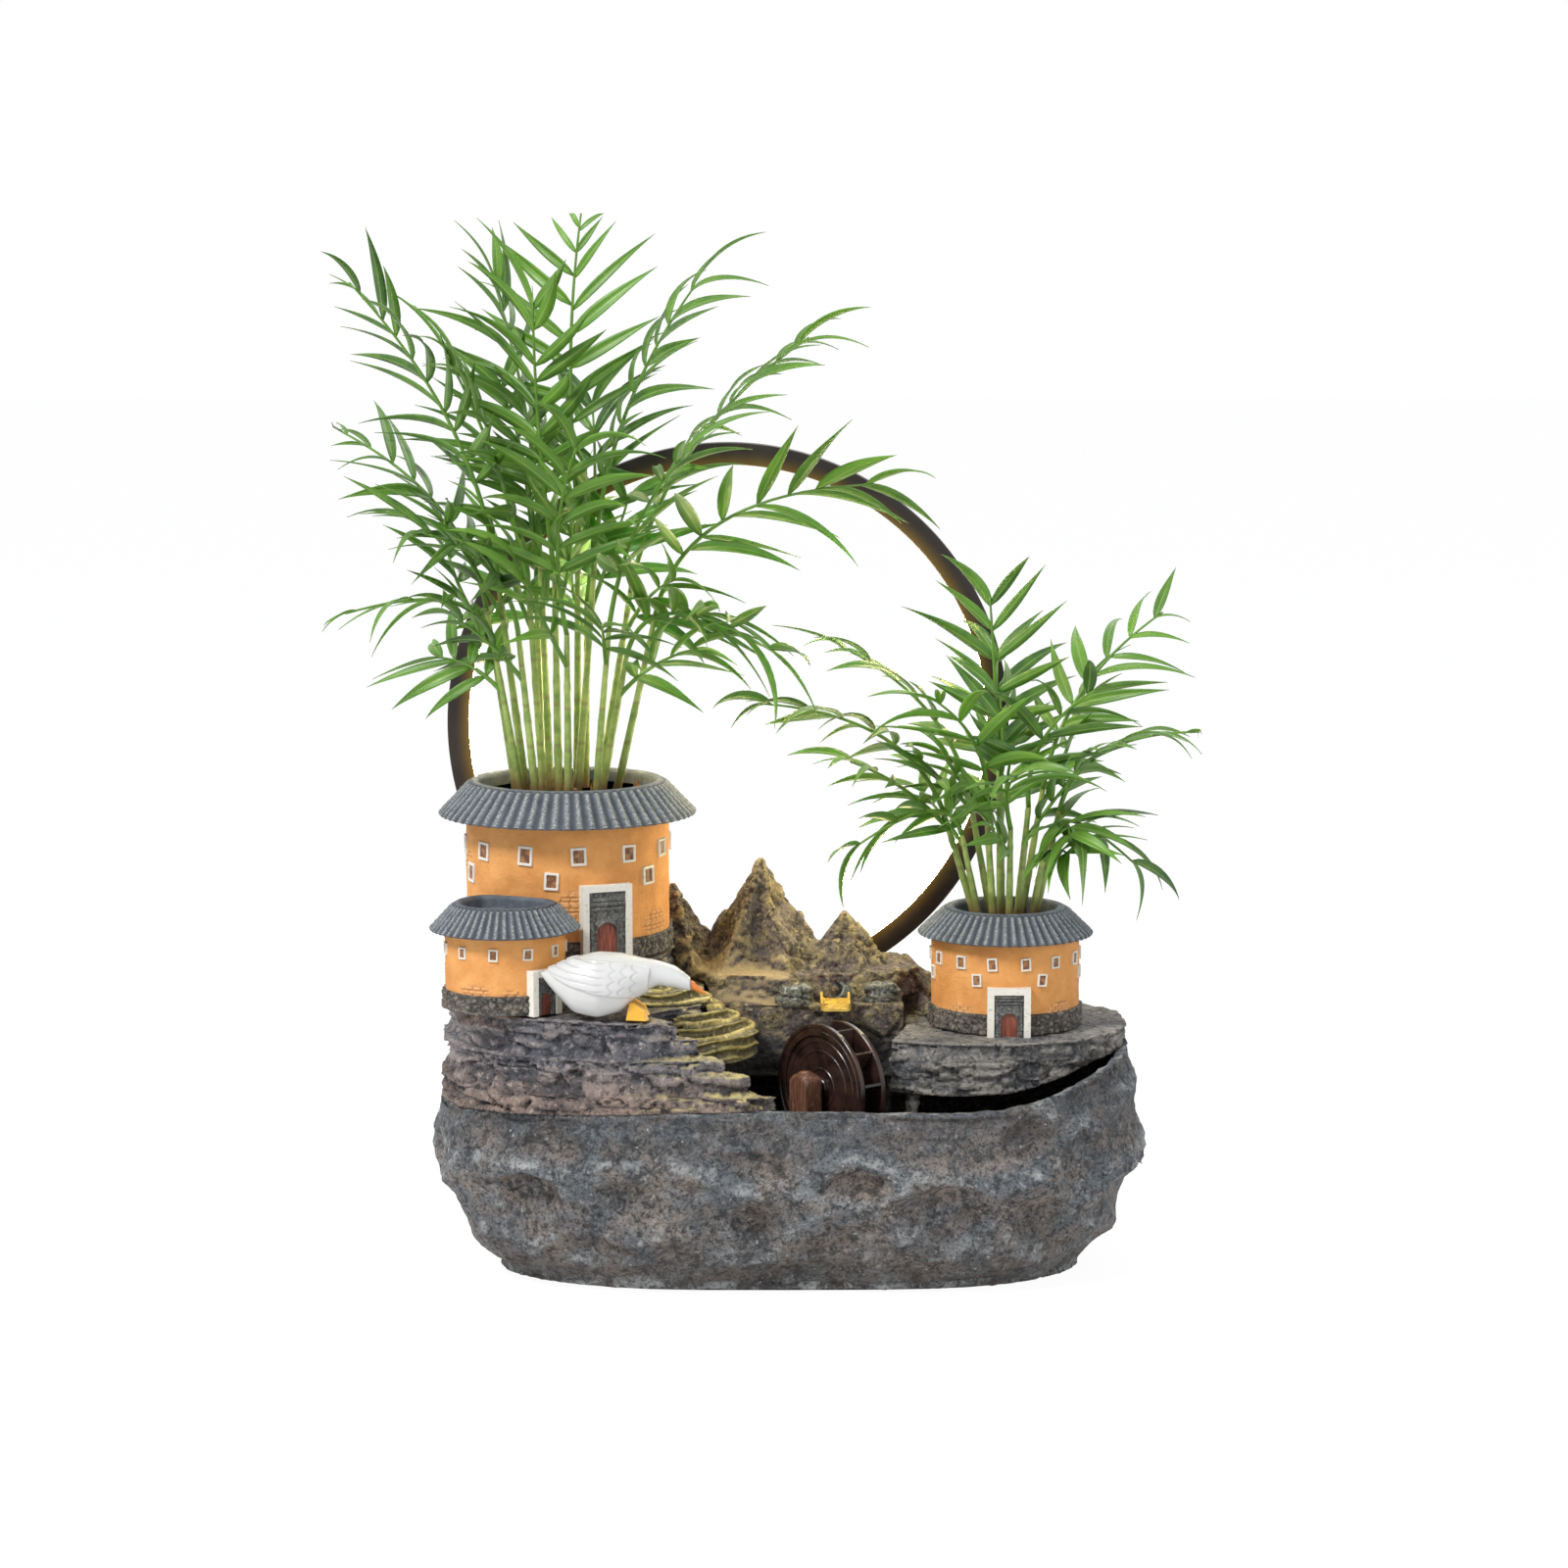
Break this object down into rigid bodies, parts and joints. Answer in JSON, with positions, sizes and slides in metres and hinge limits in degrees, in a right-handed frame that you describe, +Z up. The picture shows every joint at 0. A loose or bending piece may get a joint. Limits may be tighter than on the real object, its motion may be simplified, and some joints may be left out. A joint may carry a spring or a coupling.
{
  "type": "tabletop rockery fountain",
  "caption": "Tabletop indoor fountain: cast boulder pond with rock landscape, turning water wheel, round planter houses with palms and a lamp ring.",
  "frame": {"origin": "centre of the flat underside of the base pad", "axes": "+Z up, +X to the viewer's right, +Y away from the viewer, with the open pond and the wheel facing -Y"},
  "size_m": [0.4642, 0.2165, 0.5626],
  "materials": {
    "cast_boulder": "matt cast resin, brushed grey-brown",
    "slate_rock": "matt layered slate look, grey to blue-black",
    "terrace_resin": "matt ochre and olive, dry-brushed edges",
    "mountain_resin": "matt ochre with purple-grey rock",
    "mossy_stone": "matt dark mossy stone",
    "spout_yellow": "glossy wet yellow",
    "earth_wall": "matt orange-tan rammed earth look with brick relief",
    "roof_tile": "matt blue-grey tiles with pale worn ribs",
    "frame_white": "matt white paint",
    "surround_grey": "matt grey stone look",
    "door_red": "matt red-brown paint",
    "ring_metal": "satin near-black",
    "ring_glow": "opal, lit warm white",
    "led_strip": "satin, under the opal cover",
    "wheel_brown": "satin to glossy dark brown",
    "post_brown": "satin brown",
    "axle_steel": "polished",
    "bush_brass": "turned",
    "pump_black": "fine matt texture",
    "rotor_magnet": "dark moulded ferrite",
    "shaft_ceramic": "ground white ceramic",
    "dial_grey": "satin grey",
    "clear_hose": "satin, milky",
    "rubber_black": "matt",
    "goose_white": "glossy glaze with carved feathers",
    "beak_orange": "glossy",
    "feet_yellow": "glossy",
    "planter_soil": "loose dark soil, matt",
    "cane_green": "satin leaf green",
    "leaf_green": "satin leaf green with a pale midrib"
  },
  "bodies": {
    "fountain": {"base_pad": "rubber_black", "basin": "cast_boulder", "big_house_door_frame": "frame_white", "big_house_door_leaf": "door_red", "big_house_door_surround": "surround_grey", "big_house_roof": "roof_tile", "big_house_wall": "earth_wall", "big_palm_canes": "cane_green", "big_palm_crown": "leaf_green", "big_planter_soil": "planter_soil", "cable_grommet": "rubber_black", "goose_beak": "beak_orange", "goose_body": "goose_white", "goose_feet": "feet_yellow", "left_house_door_frame": "frame_white", "left_house_door_leaf": "door_red", "left_house_door_surround": "surround_grey", "left_house_roof": "roof_tile", "left_house_wall": "earth_wall", "mountain_ridge": "mountain_resin", "pump_housing": "pump_black", "pump_shaft": "shaft_ceramic", "pump_suction_cups": "rubber_black", "right_house_door_frame": "frame_white", "right_house_door_leaf": "door_red", "right_house_door_surround": "surround_grey", "right_house_roof": "roof_tile", "right_house_wall": "earth_wall", "right_ledge": "slate_rock", "right_planter_soil": "planter_soil", "ring_channel": "ring_metal", "ring_diffuser": "ring_glow", "ring_led_strip": "led_strip", "riser_hose": "clear_hose", "small_palm_canes": "cane_green", "small_palm_crown": "leaf_green", "spout_stones": "mossy_stone", "spout_trough": "spout_yellow", "strata_cliff": "slate_rock", "terrace_hill": "terrace_resin", "wheel_front_bush": "bush_brass", "wheel_front_post": "post_brown", "wheel_rear_bush": "bush_brass", "wheel_rear_post": "post_brown"},
    "wheel": {"wheel_front_disc": "wheel_brown", "wheel_rear_disc": "wheel_brown", "wheel_buckets": "wheel_brown", "wheel_axle": "axle_steel"},
    "rotor": {"pump_rotor": "rotor_magnet"},
    "cover": {"pump_cover": "pump_black"},
    "dial": {"pump_dial": "dial_grey"}
  },
  "joints": [
    {"name": "wheel_spin", "type": "hinge", "parent": "fountain", "child": "wheel", "pos_m": [0.0225, -0.0445, 0.103], "axis": [-0.766, -0.6428, 0], "continuous": true},
    {"name": "rotor_spin", "type": "hinge", "parent": "fountain", "child": "rotor", "pos_m": [0.052, 0.03, 0.031], "axis": [0, 1, 0], "continuous": true},
    {"name": "cover_pull", "type": "slide", "parent": "fountain", "child": "cover", "axis": [0, -1, 0], "range_m": [0, 0.02]},
    {"name": "dial_turn", "type": "hinge", "parent": "cover", "child": "dial", "pos_m": [0.052, 0, 0.031], "axis": [0, 1, 0], "range_deg": [0, 90]}
  ]
}
